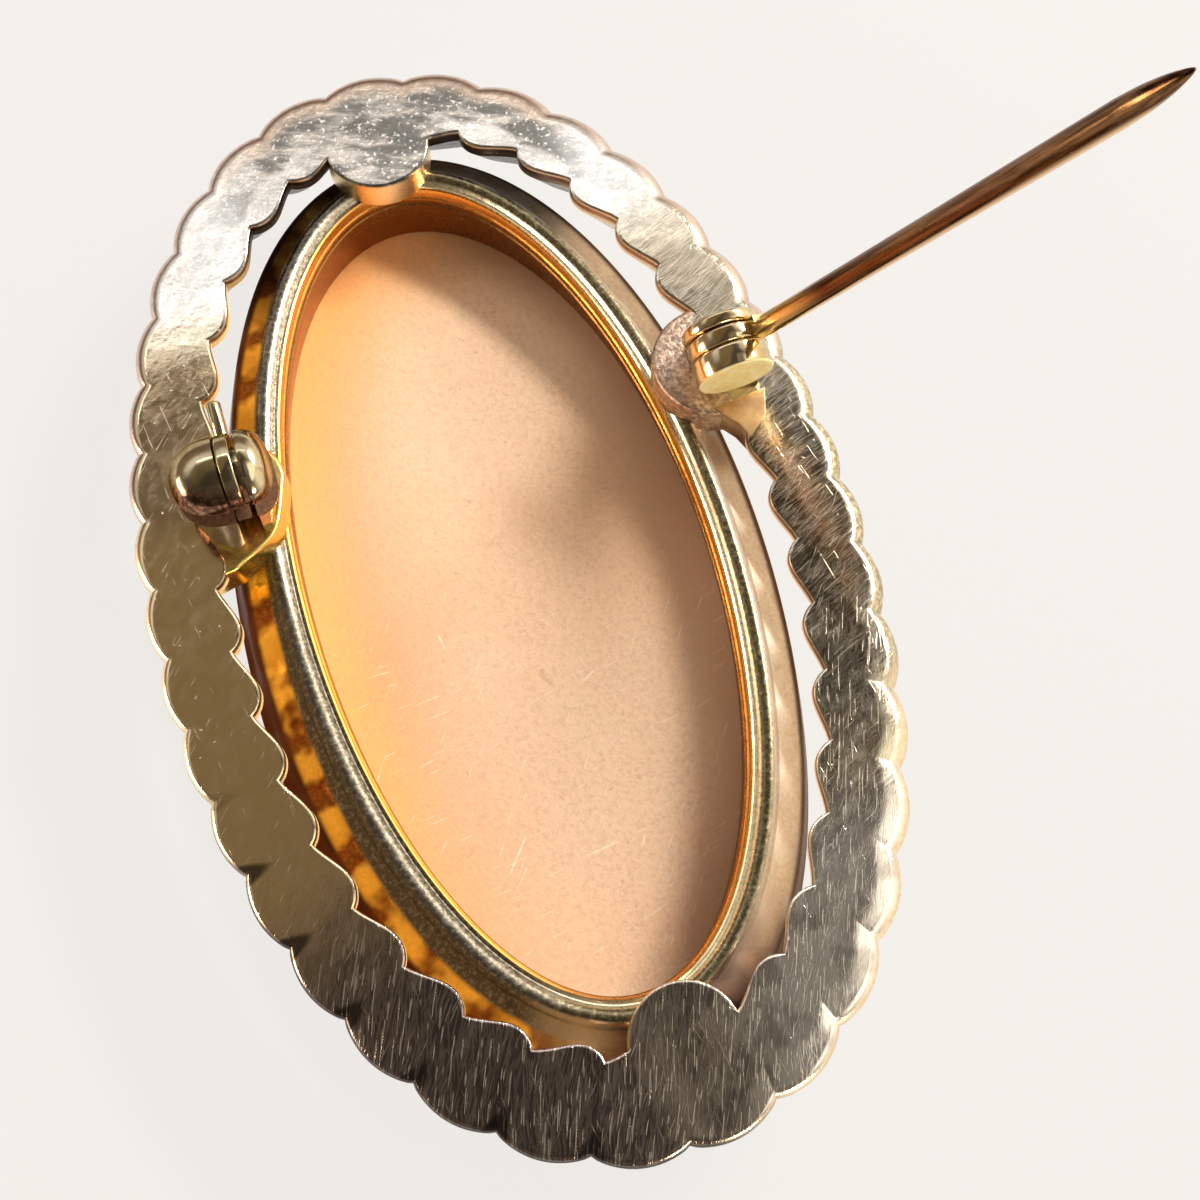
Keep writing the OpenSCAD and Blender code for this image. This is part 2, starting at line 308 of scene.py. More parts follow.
class Matter(Graph):
    """A material: its nodes, its shader, the place in mm, and lay."""

    def __init__(self, name):
        self.material = bpy.data.materials.new(name)
        self.material.use_nodes = True
        super().__init__(self.material.node_tree)
        self.tree.nodes.clear()
        self.shader = self.add("ShaderNodeBsdfPrincipled")
        self.fill(self.add("ShaderNodeOutputMaterial"), self.shader.outputs[0])
        self.place = self.vector("SCALE", self.add("ShaderNodeTexCoord").outputs["Object"], 1 / MM)
        self.lay = self.add("ShaderNodeAttribute", attribute_name="lay").outputs["Vector"]

    def hairlines(self, way, across, along, cover, seed):
        """Fine scratches along way, in degrees from +X, so many to the mm across and along."""
        bend = self.vector("SCALE", self.noise(self.place, 0.25, 1.0, output="Color"), 0.4)
        moved = self.vector("ADD", self.vector("ADD", self.place, bend), (seed, seed * 0.7, 0))
        v = self.turned(moved, 90 - way, (across, along, 0.2))
        return self.ramp(self.noise(v, 1.0, 0.0), cover, cover + 0.07)

    def stroke(self, at, way, length, width):
        """One short mark at a place, in mm, along way."""
        x, y, _ = self.split(self.turned(self.vector("SUBTRACT", self.place, (*at, 0)), -way))
        ends = self.ramp(self.math("ABSOLUTE", x), length / 2, length / 2 - 0.3)
        return self.both(ends, self.ramp(self.math("ABSOLUTE", y), width / 2, width / 6))

    def bump(self, *layers):
        """Layers of (height from 0 to 1, depth in mm), on top of each other."""
        normal = None
        for height, depth in layers:
            node = self.add("ShaderNodeBump")
            values = {"Strength": 1, "Distance": depth * MM, "Height": height, "Normal": normal}
            for name, value in values.items():
                self.put(node.inputs[name], value)
            normal = node.outputs[0]
        self.put(self.shader.inputs["Normal"], normal)

    def finish(self, colour, roughness, metallic=1.0):
        self.put(self.shader.inputs["Base Color"], colour)
        self.put(self.shader.inputs["Roughness"], roughness)
        self.put(self.shader.inputs["Metallic"], metallic)
        return self.material


# Material of the rope border


def filed_masks(g):
    """Where a point lies on the border, and the noises that its looks share.

    lay holds 1 at a groove and -1 on a lobe's crest, the distance from the outer edge, and the depth.
    """
    m = SimpleNamespace()
    m.x, m.y, z = g.split(g.place)
    m.phase, m.dist, m.depth = g.split(g.lay)
    m.flat = g.ramp(z, BACK_Z - 0.16, BACK_Z - 0.02)
    m.inner = g.ramp(m.dist, 1.7, 1.9)
    m.tongue = g.ramp(m.dist, 4.4, 4.6)
    m.deep = g.ramp(m.depth, -0.22, -0.36)
    m.mottle = g.noise(g.turned(g.place, 40, (1.0, 0.6, 1.0)), 2.4, 4.0, 0.65, 0.2)
    m.grain = g.noise(g.place, 4.5, 3.0, 0.65)
    m.top = g.ramp(m.y, 11.0, 15.5)
    m.left = g.ramp(m.x, -6.0, -9.0)
    m.right = g.ramp(m.x, 3.0, 8.0)
    m.low = g.ramp(g.plus(m.y, m.x, -0.3), -6.0, -14.0)
    m.low_left = g.both(g.ramp(m.y, -11.0, -16.0), g.ramp(m.x, 3.0, -3.0))
    m.lit = g.ramp(m.x, -1.0, -4.0)
    return m


def top_reflection_tone(g, m):
    """The top of the oval, painted as a reflection: cool and patchy with painted glints, beige along its
    outer edge, and painted highlights along its inner edge and towards both ends.
    """
    patchy = g.noise(g.turned(g.place, 108, (1.5, 0.5, 1.0)), 0.9, 4.0, 0.62, 0.3)
    painted_silver = g.mix(g.ramp(patchy, 0.34, 0.58), (0.66, 0.60, 0.53), (0.20, 0.19, 0.17))
    # Painted glints
    painted_silver = g.mix(g.both(g.ramp(m.grain, 0.56, 0.68), 0.8), painted_silver, (1.0, 0.96, 0.90))
    # Beige painted reflection along the outer edge
    beige = g.mix(g.ramp(m.mottle, 0.35, 0.65), (0.80, 0.64, 0.51), (0.60, 0.46, 0.35))
    painted_silver = g.mix(g.ramp(g.plus(m.dist, patchy, 1.2), 2.3, 1.5), painted_silver, beige)
    # A painted highlight along the inner edge, kept off the tongue
    inside = g.both(g.ramp(m.dist, 2.5, 2.9), g.ramp(m.dist, 4.4, 4.2))
    inside = g.both(inside, g.ramp(g.math("ABSOLUTE", m.x), 2.4, 4.0), 0.5)
    painted_silver = g.mix(inside, painted_silver, (1.0, 0.95, 0.88))
    # Painted highlights towards both ends of the top
    end_highlights = g.most(g.both(g.ramp(m.x, -4.5, -8.5), 0.7), g.both(g.ramp(m.x, 7.0, 9.2), 0.6))
    return g.mix(end_highlights, painted_silver, (0.95, 0.93, 0.90))


def filed_tone(g, m):
    """The flat back's gold, by its place round the oval: its clouds differ at random, and its tones by place
    are painted reflection, highlight and shade.
    """
    cloud = g.noise(g.place, 0.22, 3.0, 0.6, 0.4)
    tone = g.mix(g.ramp(cloud, 0.35, 0.68), (0.86, 0.76, 0.57), (0.74, 0.62, 0.43))
    # A yellower painted reflection at the left
    tone = g.mix(m.left, tone, (1.0, 0.80, 0.50))
    # Painted shade low at the left
    tone = g.mix(m.low_left, tone, (0.38, 0.30, 0.27))
    # A painted highlight low at the right
    low_right = g.both(g.ramp(m.y, -12.5, -16.0), g.ramp(m.x, 0.0, 5.0))
    tone = g.mix(g.both(low_right, 0.85), tone, (1.0, 0.95, 0.89))
    # Painted shade in blotches at the low end
    shade_blots = g.ramp(g.noise(g.place, 0.5, 2.0, 0.5), 0.52, 0.64)
    tone = g.mix(g.both(shade_blots, g.ramp(m.y, -14.0, -18.0), 0.55), tone, (0.26, 0.21, 0.19))
    tone = g.mix(m.top, tone, top_reflection_tone(g, m))
    # Painted shade in a band below the top
    shade_band = g.both(g.rest(g.ramp(m.y, 11.8, 14.6)), g.ramp(m.y, 3.0, 6.0))
    tone = g.mix(g.both(shade_band, 0.5), tone, (0.30, 0.25, 0.20))
    # Painted shade on the right flank, darkest in its middle
    flank = g.both(m.right, g.ramp(m.y, -12.0, -8.0), g.ramp(m.y, 11.0, 7.0), 0.8)
    tone = g.mix(flank, tone, (0.50, 0.42, 0.30))
    flank = g.both(m.right, g.ramp(m.y, -13.0, -9.0), g.ramp(m.y, 5.0, 2.0), 0.8)
    return g.mix(flank, tone, (0.29, 0.25, 0.185))


def filed_marks(g, m):
    """File scratches, steep at the low end and slanted at the right, and bright dots."""
    steep = g.most(g.hairlines(60, 17.0, 0.8, 0.56, 3.1), g.hairlines(76, 15.0, 0.7, 0.58, 17.7))
    slanted = g.most(g.hairlines(18, 17.0, 0.9, 0.57, 27.9), g.hairlines(33, 15.0, 0.7, 0.58, 41.3))
    bright = g.most(g.both(g.hairlines(68, 18.0, 0.9, 0.68, 8.8), m.low, 0.8),
                    g.both(g.hairlines(24, 18.0, 0.9, 0.72, 91.0), m.right, 0.5),
                    g.both(g.hairlines(50, 18.0, 0.8, 0.76, 63.0), 0.55),
                    g.both(g.hairlines(100, 18.0, 0.8, 0.77, 77.0), 0.55))
    lines = g.most(g.both(steep, m.low, 0.30), g.both(slanted, m.right, 0.26), bright)
    dots = g.both(g.ramp(g.noise(g.place, 3.1, 1.0), 0.74, 0.79), g.rest(m.low_left))
    return g.both(g.most(lines, dots), g.ramp(m.top, 1.0, 0.3))


def filed_side(g, m):
    """The lobes' rounded outer sides, whose tones by place are painted reflection, highlight and shade, and
    the wall inside the border, with painted light and shade.
    """
    pink = g.mix(g.ramp(m.grain, 0.35, 0.68), (0.78, 0.62, 0.52), (0.62, 0.46, 0.37))
    olive = g.mix(g.ramp(m.grain, 0.38, 0.68), (0.42, 0.34, 0.20), (0.88, 0.76, 0.50))
    pale = g.mix(g.ramp(m.grain, 0.35, 0.68), (1.0, 0.86, 0.62), (0.88, 0.62, 0.34))
    # Painted shade with small glints, for the sides low at the left, redder further down
    dark_shade = g.mix(g.ramp(m.grain, 0.58, 0.72), (0.06, 0.045, 0.04), (0.30, 0.24, 0.14))
    dark_shade = g.mix(g.ramp(m.depth, -0.45, -0.9), dark_shade, (0.26, 0.15, 0.10))
    # Painted reflection on the sides: pink at the top, olive at the right, pale elsewhere, with a pale
    # painted highlight low at the right
    side = g.mix(g.ramp(m.y, 3.0, 7.0), g.mix(m.right, pale, olive), pink)
    side = g.mix(g.both(g.ramp(m.y, -8.0, -12.0), m.right), side, pale)
    side = g.mix(g.both(g.ramp(m.y, -4.0, -13.0), g.ramp(m.x, 5.0, 0.0)), side, dark_shade)
    # Painted shade darkens the wall further down
    wall = g.mix(m.deep, (0.80, 0.52, 0.40), (0.20, 0.08, 0.05))
    # Painted light on the wall at the left
    wall = g.mix(g.both(m.lit, m.deep), wall, (1.0, 0.72, 0.34))
    # At the right, painted shade along the top of the wall, and below it the wall painted as lit
    right_wall = g.mix(g.ramp(m.depth, -0.30, -0.50), (0.36, 0.18, 0.09), (1.0, 0.86, 0.68))
    wall = g.mix(m.right, wall, right_wall)
    # Painted shade, near black, on the wall at the top end
    wall = g.mix(g.ramp(m.y, 14.0, 17.5), wall, (0.05, 0.035, 0.03))
    side = g.mix(m.inner, side, wall)
    return g.mix(m.tongue, side, (0.98, 0.78, 0.48))


def filed_gold():
    """The rope border: a filed back, and rounded sides whose tones by place are painted reflection, highlight
    and shade.
    """
    g = Matter("filed_gold")
    m = filed_masks(g)
    marks = filed_marks(g, m)
    tone = g.mix(g.both(marks, 0.8), filed_tone(g, m), (1.0, 0.92, 0.78))
    # Painted shade in wedges at the grooves, low at the left
    groove_shade = g.ramp(g.math("SUBTRACT", m.phase, g.both(m.dist, 0.45)), 0.42, 0.70)
    groove_shade = g.both(groove_shade, g.ramp(m.y, -6.0, -9.0), g.ramp(m.x, 0.0, -4.0), g.ramp(m.dist, 1.9, 1.5), 0.85)
    tone = g.mix(groove_shade, tone, (0.08, 0.06, 0.05))
    rough = g.plus(g.ramp(m.mottle, 0.3, 0.7, 0.10, 0.20), marks, 0.14)
    rough = g.plus(rough, m.top, 0.06)
    rough = g.mix(m.flat, g.ramp(m.grain, 0.3, 0.7, 0.26, 0.40), rough)
    dish = g.both(g.ramp(m.dist, 0.1, 1.3), g.ramp(m.x, 0.0, 5.0), g.ramp(m.y, -4.0, -11.0))
    gritty = g.both(m.grain, g.most(m.top, g.both(m.left, 0.3)))
    g.bump((g.noise(g.place, 0.3, 2.0), 0.05), (dish, 0.13), (g.noise(g.place, 1.3, 2.0), 0.006),
           (gritty, 0.012), (marks, -0.004))
    matt = g.both(m.inner, g.most(m.lit, m.right), m.deep, g.rest(m.tongue))
    return g.finish(g.mix(m.flat, filed_side(g, m), tone), rough, g.rest(g.both(matt, 0.9)))


# Material of the bezel

# Colour of the painted patches of light on the bezel's left
AMBER = (1.0, 0.63, 0.13)


def bezel_left(g, speck, low, band):
    """The left, painted as the shaded side: a speckled rim darkened low down, a dark slope, and amber patches
    of painted light in a band along the outer edge, with painted shade at that edge.
    """
    wave, out, edge = g.split(g.lay)
    bead = g.mix(g.ramp(speck, 0.40, 0.64), (0.42, 0.37, 0.28), (0.72, 0.66, 0.53))
    # Painted shade on the rim low down
    bead = g.mix(low, bead, g.mix(g.ramp(speck, 0.42, 0.62), (0.15, 0.13, 0.09), (0.40, 0.36, 0.28)))
    # The slope, darkened as painted shade
    slope = g.mix(g.ramp(speck, 0.45, 0.70), (0.10, 0.09, 0.07), (0.27, 0.24, 0.19))
    # Amber patches of painted light, with painted shade between them, in the lobes' rhythm
    uneven = g.math("SUBTRACT", g.noise(g.place, 0.7, 2.0, 0.5), 0.50)
    ripple = g.math("ADD", g.both(wave, 0.15), uneven)
    light_patch = g.mix(g.ramp(ripple, -0.15, 0.09), (0.20, 0.07, 0.02), AMBER)
    light_patch = g.mix(g.ramp(speck, 0.40, 0.66, 0.0, 0.22), light_patch, (0.60, 0.28, 0.06))
    colour = g.mix(g.ramp(out, 0.50, 0.72), bead, slope)
    colour = g.mix(band, colour, light_patch)
    # Painted shade along the outer edge, beside the border
    return g.mix(g.ramp(edge, 0.62, 0.36), colour, (0.11, 0.035, 0.02))


def bezel_right(g, speck):
    """The right, painted as the lit side: a painted highlight on the rim, a speckled line of painted dark
    reflection beside it, a peach slope painted as lit, and painted shade at the outer edge.
    """
    _, out, edge = g.split(g.lay)
    # The speckled line: a painted dark reflection
    line = g.mix(g.ramp(speck, 0.5, 0.68), (0.24, 0.20, 0.11), (0.5, 0.42, 0.27))
    peach = g.mix(g.ramp(speck, 0.34, 0.66), (1.0, 0.97, 0.87), (0.92, 0.78, 0.64))
    # A painted highlight on the rim, then the line
    colour = g.mix(g.ramp(out, 0.38, 0.48), (1.0, 0.90, 0.66), line)
    # The peach slope, painted as lit
    colour = g.mix(g.ramp(out, 0.82, 1.02), colour, peach)
    # Painted shade along the outer edge
    return g.mix(g.ramp(edge, 0.44, 0.22), colour, (0.20, 0.11, 0.06))


def bezel_gold():
    """The bezel: orange inner wall and lip, and a rim and slope painted as lit at the right and as shaded at
    the left.

    lay holds the lobes' rhythm, the distance outwards from the lip, and the one inwards from the outer edge.
    """
    g = Matter("bezel_gold")
    _, out, edge = g.split(g.lay)
    x, y, z = g.split(g.place)
    speck = g.noise(g.place, 6.0, 3.0, 0.7)
    cloud = g.noise(g.place, 0.5, 3.0, 0.6, 0.3)
    left = g.ramp(g.plus(x, y, -0.12), 1.0, -3.0)
    low = g.ramp(y, 6.0, -2.0)
    band = g.ramp(edge, 1.45, 1.20)
    inner = g.mix(cloud, (0.94, 0.52, 0.14), (0.84, 0.36, 0.06))
    # Painted shade on the inner wall further down
    inner = g.mix(g.both(g.ramp(z, BACK_Z - 1.95, BACK_Z - 2.15), 0.85), inner, (0.26, 0.12, 0.04))
    # The left and right halves are shaded and lit copies: painted shade and light
    colour = g.mix(left, bezel_right(g, speck), bezel_left(g, speck, low, band))
    # Painted shade on the outside below the step
    colour = g.mix(g.ramp(edge, -0.5, -0.7), colour, (0.30, 0.16, 0.09))
    colour = g.mix(g.ramp(out, 0.07, 0.16), inner, colour)
    matt = g.both(g.ramp(out, 0.9, 1.1), g.rest(left))
    rough = g.plus(g.ramp(speck, 0.3, 0.7, 0.24, 0.36), matt, 0.10)
    rough = g.math("ADD", rough, g.both(left, low, 0.22))
    rough = g.ramp(g.both(band, left), 0.0, 1.0, rough, 0.12)
    g.bump((g.noise(g.place, 0.6, 2.0), 0.05), (g.both(speck, g.ramp(out, 0.1, 0.25)), 0.005))
    return g.finish(colour, rough)


# Materials of the hinge, the catch and the pin


def solder_gold():
    """The hinge's disc: granular and pinkish."""
    g = Matter("solder_gold")
    grain = g.noise(g.place, 4.5, 4.0, 0.65)
    cloud = g.noise(g.place, 0.8, 2.0)
    colour = g.mix(g.ramp(grain, 0.35, 0.68), (0.34, 0.24, 0.18), (0.84, 0.66, 0.52))
    colour = g.mix(g.ramp(cloud, 0.35, 0.7, 0.0, 0.5), colour, (0.62, 0.42, 0.30))
    g.bump((grain, 0.05), (g.noise(g.place, 11.0, 2.0), 0.012))
    return g.finish(colour, g.ramp(grain, 0.3, 0.7, 0.32, 0.5))


def smudged(g, base, deep, rough_lo=0.1, rough_hi=0.2):
    """Colour and roughness of gold with faint smudges."""
    cloud = g.noise(g.place, 0.9, 3.0, 0.6, 0.3)
    return g.mix(g.ramp(cloud, 0.35, 0.68), base, deep), g.ramp(cloud, 0.3, 0.7, rough_lo, rough_hi)


def polished_gold(name, base, deep, rough_lo, rough_hi):
    """Smooth gold with faint smudges and small scratches."""
    g = Matter(name)
    colour, rough = smudged(g, base, deep, rough_lo, rough_hi)
    fine = g.noise(g.turned(g.place, 35, (6.0, 0.8, 2.0)), 1.5, 2.0)
    g.bump((g.noise(g.place, 0.8, 2.0), 0.02), (fine, 0.0018))
    return g.finish(colour, rough)


def ball_gold():
    """The ball catch: polished and olive, with painted shade, dark and reddish, on its lower side and in its
    mouth.
    """
    g = Matter("ball_gold")
    g.put(g.shader.inputs["Specular Tint"], (0.40, 0.32, 0.24))
    _, y, z = g.split(g.place)
    grain = g.noise(g.place, 5.0, 3.0, 0.6)
    colour, rough = smudged(g, (0.74, 0.64, 0.42), (0.46, 0.38, 0.22))
    # Painted shade, dark and reddish, on its lower side
    height = g.vector("DOT_PRODUCT", g.vector("SUBTRACT", g.place, BALL_AT), (0.35, 0.6, 0.9))
    low_shade = g.mix(g.ramp(grain, 0.42, 0.62), (0.11, 0.06, 0.04), (0.38, 0.19, 0.11))
    colour = g.mix(g.ramp(height, 1.0, -0.05), colour, low_shade)
    # Painted shade in its mouth, matt reddish brown
    above = g.math("ABSOLUTE", g.math("SUBTRACT", z, BALL_AT[2]))
    mouth = g.both(g.ramp(above, 0.60, 0.54), g.ramp(y, BALL_AT[1] + 0.62, BALL_AT[1] + 0.52))
    colour = g.mix(mouth, colour, g.mix(grain, (0.17, 0.085, 0.05), (0.36, 0.20, 0.12)))
    g.bump((g.noise(g.place, 0.8, 2.0), 0.03), (grain, 0.003))
    return g.finish(colour, g.plus(rough, mouth, 0.3), g.rest(g.both(mouth, 0.8)))


def barrel_gold():
    """The hinge's knuckles. The end face, low down in lay, is painted a bright yellow, a painted highlight.
    """
    g = Matter("barrel_gold")
    end = g.ramp(g.split(g.lay)[2], -1.36, -1.44)
    grain = g.noise(g.place, 3.0, 3.0, 0.6)
    colour, rough = smudged(g, (0.92, 0.76, 0.48), (0.62, 0.46, 0.22))
    # A painted highlight on the end face
    colour = g.mix(end, colour, g.mix(g.ramp(grain, 0.4, 0.62), (1.0, 0.95, 0.56), (1.0, 0.80, 0.34)))
    g.bump((g.noise(g.place, 0.8, 2.0), 0.04), (g.both(grain, g.math("ADD", 0.1, end)), 0.03))
    return g.finish(colour, g.plus(rough, end, 0.25), g.rest(g.both(end, 0.85)))


def pin_gold():
    """The pin: drawn wire, dark copper with fine lengthwise streaks.

    lay holds the distance along the wire, and the one towards its brighter under side, where a reflection is
    painted.
    """
    g = Matter("pin_gold")
    along, side, _ = g.split(g.lay)
    streak = g.noise(g.vector("MULTIPLY", g.lay, (0.35, 9.0, 9.0)), 1.0, 3.0, 0.6)
    slow = g.noise(g.vector("MULTIPLY", g.lay, (0.25, 1.0, 1.0)), 1.0, 2.0)
    colour = g.mix(g.ramp(streak, 0.35, 0.65), (0.06, 0.028, 0.012), (0.24, 0.12, 0.05))
    colour = g.mix(g.ramp(slow, 0.4, 0.65, 0.0, 0.4), colour, (0.18, 0.07, 0.03))
    # A painted reflection along the pin's under side
    colour = g.mix(g.ramp(side, 0.28, 0.44), colour, (0.86, 0.54, 0.28))
    colour = g.mix(g.ramp(along, 5.0, 1.2), colour, (0.88, 0.64, 0.28))
    g.bump((streak, 0.004), (g.noise(g.place, 6.0, 2.0), 0.002))
    return g.finish(colour, g.ramp(streak, 0.3, 0.7, 0.16, 0.28))


# Material of the shell

SHELL_HALF_W, SHELL_HALF_L = 8.8, 18.6
STROKE_W, SPOT_W = 0.13, 0.28

# Scratches and dark spots as (place, direction in degrees, length), in mm
SCRATCHES = [
    ((-3.08, -11.74), 51, 1.9),
    ((0.29, -12.48), 7, 1.7),
    ((2.0, -5.28), 28, 0.9),
    ((2.02, -12.7), 58, 0.8),
    ((-3.58, -2.03), -80, 0.9),
]
DARK_SPOTS = [
    ((0.23, -4.92), -60, 1.1),
    ((-3.97, -9.82), 0, 0.5),
    ((4.9, -10.0), 0, 0.5),
]


def shell_tone(g):
    """Peach, with orange glows of painted reflected light on the left and along the top left, and painted
    shade near the rim on the right half and towards the right.
    """
    x, y, _ = g.split(g.place)
    lx, ly = g.math("DIVIDE", x, SHELL_HALF_W), g.math("DIVIDE", y, SHELL_HALF_L)
    far = g.math("SQRT", g.math("ADD", g.math("POWER", lx, 2.0), g.math("POWER", ly, 2.0)))
    cloud = g.noise(g.place, 0.09, 3.0, 0.55, 0.3)
    tone = g.mix(g.ramp(cloud, 0.3, 0.7), (0.84, 0.56, 0.36), (0.86, 0.62, 0.43))
    # Painted orange light reflected on the left
    left_glow = g.both(g.ramp(lx, -0.08, -0.88, 0.0, 0.8), g.ramp(ly, -0.8, 0.0, 0.6, 1.0))
    tone = g.mix(left_glow, tone, (0.74, 0.27, 0.105))
    # Painted orange light reflected along the top left
    top_left = g.plus(g.both(lx, -0.9), ly, 0.45)
    glow = g.both(g.ramp(far, 0.55, 1.0), g.ramp(top_left, -0.1, 0.75), 0.8)
    tone = g.mix(glow, tone, (0.92, 0.38, 0.07))
    # Painted shade near the rim on the right half
    corner_shade = g.both(g.ramp(far, 0.80, 1.02), g.ramp(lx, 0.0, 0.5), 0.55)
    tone = g.mix(corner_shade, tone, (0.34, 0.17, 0.08))
    # Painted shade towards the right
    return g.mix(g.ramp(lx, 0.5, 0.85, 0.0, 0.6), tone, (0.36, 0.19, 0.10))


def shell_matter():
    """The shell's back: matt, with faint pale scratches and dark dots."""
    g = Matter("peach_shell")
    _, y, _ = g.split(g.place)
    grain = g.noise(g.place, 4.0, 4.0, 0.7)
    dots = g.ramp(g.noise(g.place, 2.6, 1.0), 0.70, 0.78)
    lines = g.most(g.hairlines(55, 14.0, 0.8, 0.76, 5.0), g.hairlines(12, 14.0, 0.8, 0.76, 41.0))
    lines = g.both(lines, g.ramp(y, 2.0, -6.0), 0.7)
    for at, way, length in SCRATCHES:
        lines = g.most(lines, g.stroke(at, way, length, STROKE_W))
    for at, way, length in DARK_SPOTS:
        dots = g.most(dots, g.stroke(at, way, length, SPOT_W))
    colour = g.mix(g.both(lines, 0.6), shell_tone(g), (1.0, 0.88, 0.70))
    colour = g.mix(g.both(dots, 0.3), colour, (0.40, 0.24, 0.15))
    colour = g.mix(g.ramp(grain, 0.42, 0.72, 0.0, 0.34), colour, (0.50, 0.31, 0.20))
    g.bump((g.noise(g.place, 6.0, 3.0, 0.6), 0.02), (grain, 0.014), (lines, -0.01))
    g.put(g.shader.inputs["Specular IOR Level"], 0.35)
    g.put(g.shader.inputs["Subsurface Weight"], 0.15)
    g.put(g.shader.inputs["Subsurface Scale"], 1 * MM)
    return g.finish(colour, g.ramp(grain, 0.3, 0.7, 0.5, 0.65), metallic=0.0)


FILED = filed_gold()
BEZEL = bezel_gold()
SOLDER = solder_gold()
BALL = ball_gold()
BARREL = barrel_gold()
BRIGHT = polished_gold("bright_gold", (1.0, 0.76, 0.36), (0.98, 0.66, 0.24), 0.14, 0.26)
PLATE = polished_gold("plate_gold", (1.0, 0.80, 0.26), (0.92, 0.64, 0.20), 0.2, 0.32)
FILLET = polished_gold("fillet_gold", (0.74, 0.52, 0.28), (0.42, 0.26, 0.15), 0.26, 0.42)
FOOT = polished_gold("foot_gold", (0.74, 0.58, 0.36), (0.44, 0.30, 0.17), 0.16, 0.3)
PIN = pin_gold()
SHELL = shell_matter()

# Rope border with its two tongues

LOBES, LOBE_STEPS = 37, 18
BORDER_STEPS = LOBES * LOBE_STEPS
BORDER_L, BORDER_W, BORDER_T = 48.7, 28.8, 3.2
BAND_W, BAND_END_W = 2.7, 3.3
LOBE_OUT, LOBE_IN, FULLNESS = 0.42, 0.56, 0.008
INNER_EDGE, LEAST_EDGE = 0.13, 0.002  # rounding of the inner edge, clear of the tongues and under them
TONGUES = {"tongue_top": ((0, 20.4), 2.35), "tongue_low": ((0.75, -20.75), 2.15)}
TONGUE_Z, TONGUE_TOP, TONGUE_EDGE = -1.35, -0.002, 0.13

# The lobes are wider at the ends of the oval: a lobe's place in the count is t = a + stretch * sin(2 * a)
# + drift * cos(a), where a is the angle round the oval. The grooves slant a little from outside to inside.
FIRST_GROOVE, STRETCH_OUT, STRETCH_IN, DRIFT, SLANT = 84.3, 9.7, 7.7, 1.2, 2


def angle_at(t, stretch):
    a = t
    for _ in range(12):
        a = t - stretch * sind(2 * a) - DRIFT * cosd(a)
    return a


def oval(l, w, a):
    return Vector((w / 2 * cosd(a), l / 2 * sind(a)))


def full_oval(l, w, a):
    return (1 - FULLNESS * cosd(4 * a)) * oval(l, w, a)


def oval_out(l, w, a):
    return Vector((cosd(a) / w, sind(a) / l)).normalized()


def grown(l, w, a, e):
    return oval(l, w, a) + e * oval_out(l, w, a)


def swell(f, peak):
    """A lobe's height at part f of its pitch. peak moves the crest along the lobe."""
    return max(0.0, math.sin(math.pi * f ** peak)) ** 0.75


def shoulder(a):
    """Rounding of the outer edge, larger at the top right than at the bottom left."""
    return 0.62 + 0.33 * cosd(a - 60)


def border_section(s, w, front, edge):
    """Section of the border, as (distance from the inside, height from the flat back)."""
    upper = [(0, -edge), (0.29 * edge, -0.29 * edge), (edge, 0), (edge + SUPPORT, 0), (w - s - SUPPORT, 0)]
    upper += [(w - s + s * sind(a), -s + s * cosd(a)) for a in range(0, 91, 15)]
    lower = [(0.985 * w, -1.8), (0.92 * w, -0.76 * front), (0.78 * w, -0.92 * front), (0.58 * w, -front),
             (0.38 * w, -0.87 * front), (0.2 * w, -0.56 * front), (0.02, -0.62)]
    return upper + curve_through(lower, 2) + [(0, -0.6)]


def build_border():
    points, lay = [], []
    inner_l, inner_w = BORDER_L - 2 * BAND_END_W, BORDER_W - 2 * BAND_W
    for i in range(BORDER_STEPS):
        t = FIRST_GROOVE + i * 360 / LOBES / LOBE_STEPS
        f = (i % LOBE_STEPS) / LOBE_STEPS
        a, b = angle_at(t, STRETCH_OUT), angle_at(t + SLANT, STRETCH_IN)
        outer = full_oval(BORDER_L, BORDER_W, a) + LOBE_OUT * swell(f, 1) * oval_out(BORDER_L, BORDER_W, a)
        inner = full_oval(inner_l, inner_w, b) - LOBE_IN * swell(f, 1.6) * oval_out(inner_l, inner_w, b)
        front = BORDER_T * (0.88 + 0.12 * swell(f, 1))
        across = outer - inner
        w = across.length
        clear = min((inner - Vector(at)).length - r for at, r in TONGUES.values())
        edge = INNER_EDGE * smooth(-0.15, 0.02, clear) + LEAST_EDGE
        for u, z in border_section(shoulder(a), w, front, edge):
            q = inner + across * (u / w)
            points.append((q.x, q.y, BACK_Z + z))
            lay.append((math.cos(2 * math.pi * f), w - u, z))
    faces = quads(BORDER_STEPS, len(points) // BORDER_STEPS, closed=True)
    make("rope_border", points, faces, FRAME, FILED, lay, sharp=28)


def build_tongue(name, at, r):
    flat_r = r - TONGUE_EDGE - SUPPORT
    points, faces = lathe(disc_profile(r, TONGUE_Z, TONGUE_TOP, TONGUE_EDGE, flat_r, (0, 45, 90)), 120)
    lay = [(-1, 5, z) for _, _, z in points]  # on a crest, at a distance that marks a tongue
    make(name, points, faces, FRAME, FILED, lay, Matrix.Translation((*at, BACK_Z)), sharp=30)


build_border()
for name, (at, r) in TONGUES.items():
    build_tongue(name, at, r)

# Bezel, in distances outwards from its lip

LIP_L, LIP_W, TROUGH_R, SHELL_T = 37.3, 17.04, 19, 1.85
BEZEL_W, SEAT_E, RIM_E, LEDGE_E = 2.3, 1, 0.72, -0.12
BEZEL_STEPS = 216
WAVE_LAG = 20  # how far the amber patches of painted light lag behind the lobes, in degrees of a lobe's cycle


